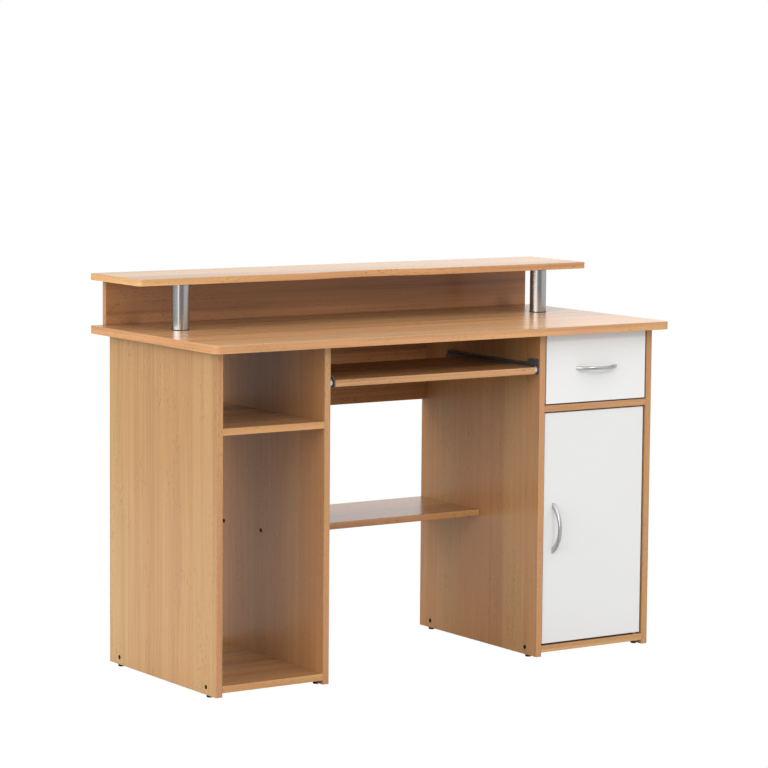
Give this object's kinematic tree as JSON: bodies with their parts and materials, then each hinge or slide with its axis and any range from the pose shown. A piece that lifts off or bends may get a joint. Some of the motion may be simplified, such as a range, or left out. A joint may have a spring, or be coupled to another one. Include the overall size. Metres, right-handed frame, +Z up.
{
  "type": "computer desk",
  "caption": "Beech-effect computer desk: open pedestal, pedestal with drawer and cupboard, sliding keyboard tray, low cross shelf, and a full-width riser shelf on metal tubes.",
  "frame": {"origin": "on the floor, at the centre of the desktop's outline", "axes": "+Z up, +X to the sitter's right along the desk, -Y towards the sitter"},
  "size_m": [1.2, 0.535, 0.865],
  "materials": {
    "beech_board": "satin beech-effect foil on chipboard",
    "white_front": "smooth satin white foil on chipboard",
    "drawer_board": "white foil on thin chipboard",
    "hardboard": "pale foil face, brown hardboard back",
    "dowel_wood": "plain beech",
    "zinc_fitting": "zinc-plated steel",
    "satin_tube": "satin silver",
    "silver_handle": "satin silver lacquer on cast metal",
    "black_plastic": "black moulded plastic",
    "coated_steel": "dark grey powder coat",
    "white_nylon": "white nylon",
    "magnet": "dark ferrite"
  },
  "bodies": {
    "desk": {"board_screws": "zinc_fitting", "cam_bolts": "zinc_fitting", "cam_locks": "zinc_fitting", "catch_body": "white_nylon", "catch_magnets": "magnet", "catch_screws": "zinc_fitting", "cross_shelf": "beech_board", "desktop": "beech_board", "door_pivot_bushes": "white_nylon", "drawer_fixed_slide_left": "coated_steel", "drawer_fixed_slide_right": "coated_steel", "front_roller_rivets": "zinc_fitting", "glides": "black_plastic", "knee_panel": "beech_board", "left_bottom_board": "beech_board", "left_inner_panel": "beech_board", "left_outer_panel": "beech_board", "left_riser_tube": "satin_tube", "left_shelf": "beech_board", "right_bottom_board": "beech_board", "right_divider": "beech_board", "right_inner_panel": "beech_board", "right_outer_panel": "beech_board", "right_pedestal_back": "hardboard", "right_riser_tube": "satin_tube", "riser_back_board": "beech_board", "riser_shelf": "beech_board", "riser_tube_bolts": "zinc_fitting", "riser_tube_plugs": "black_plastic", "slide_screws": "zinc_fitting", "tray_fixed_slide_left": "coated_steel", "tray_fixed_slide_right": "coated_steel", "wooden_dowels": "dowel_wood"},
    "tray": {"keyboard_tray": "beech_board", "tray_runner_left": "coated_steel", "tray_runner_right": "coated_steel", "tray_runner_screws": "zinc_fitting", "tray_rear_rivets": "zinc_fitting"},
    "drawer": {"drawer_front": "white_front", "drawer_side_left": "drawer_board", "drawer_side_right": "drawer_board", "drawer_back": "drawer_board", "drawer_base": "hardboard", "drawer_dowels": "dowel_wood", "drawer_handle": "silver_handle", "drawer_screws": "zinc_fitting", "drawer_runner_left": "coated_steel", "drawer_runner_right": "coated_steel", "drawer_runner_screws": "zinc_fitting", "drawer_rear_rivets": "zinc_fitting"},
    "cupboard_door": {"door": "white_front", "door_handle": "silver_handle", "door_screws": "zinc_fitting", "door_pivot_pins": "zinc_fitting", "catch_plate": "zinc_fitting"},
    "tray_front_roller_pair": {"tray_front_rollers": "white_nylon"},
    "tray_rear_roller_pair": {"tray_rear_rollers": "white_nylon"},
    "drawer_front_roller_pair": {"drawer_front_rollers": "white_nylon"},
    "drawer_rear_roller_pair": {"drawer_rear_rollers": "white_nylon"}
  },
  "joints": [
    {"name": "tray_slide", "type": "slide", "parent": "desk", "child": "tray", "axis": [0, -1, 0], "range_m": [0, 0.26]},
    {"name": "drawer_slide", "type": "slide", "parent": "desk", "child": "drawer", "axis": [0, -1, 0], "range_m": [0, 0.26]},
    {"name": "door_hinge", "type": "hinge", "parent": "desk", "child": "cupboard_door", "pos_m": [0.5455, -0.221, 0.29375], "axis": [0, 0, 1], "range_deg": [0, 105]},
    {"name": "tray_front_roller_spin", "type": "hinge", "parent": "desk", "child": "tray_front_roller_pair", "pos_m": [0, -0.2155, 0.65225], "axis": [1, 0, 0], "range_deg": [0, 1775]},
    {"name": "tray_rear_roller_spin", "type": "hinge", "parent": "tray", "child": "tray_rear_roller_pair", "pos_m": [0, 0.0985, 0.65225], "axis": [1, 0, 0], "range_deg": [0, 1775]},
    {"name": "drawer_front_roller_spin", "type": "hinge", "parent": "desk", "child": "drawer_front_roller_pair", "pos_m": [0, -0.2035, 0.59775], "axis": [1, 0, 0], "range_deg": [0, 1775]},
    {"name": "drawer_rear_roller_spin", "type": "hinge", "parent": "drawer", "child": "drawer_rear_roller_pair", "pos_m": [0, 0.1105, 0.59775], "axis": [1, 0, 0], "range_deg": [0, 1775]}
  ],
  "couplings": [
    {"joint": "tray_front_roller_spin", "follows": "tray_slide", "rad_per_m": 119.05},
    {"joint": "tray_rear_roller_spin", "follows": "tray_slide", "rad_per_m": 119.05},
    {"joint": "drawer_front_roller_spin", "follows": "drawer_slide", "rad_per_m": 119.05},
    {"joint": "drawer_rear_roller_spin", "follows": "drawer_slide", "rad_per_m": 119.05}
  ]
}
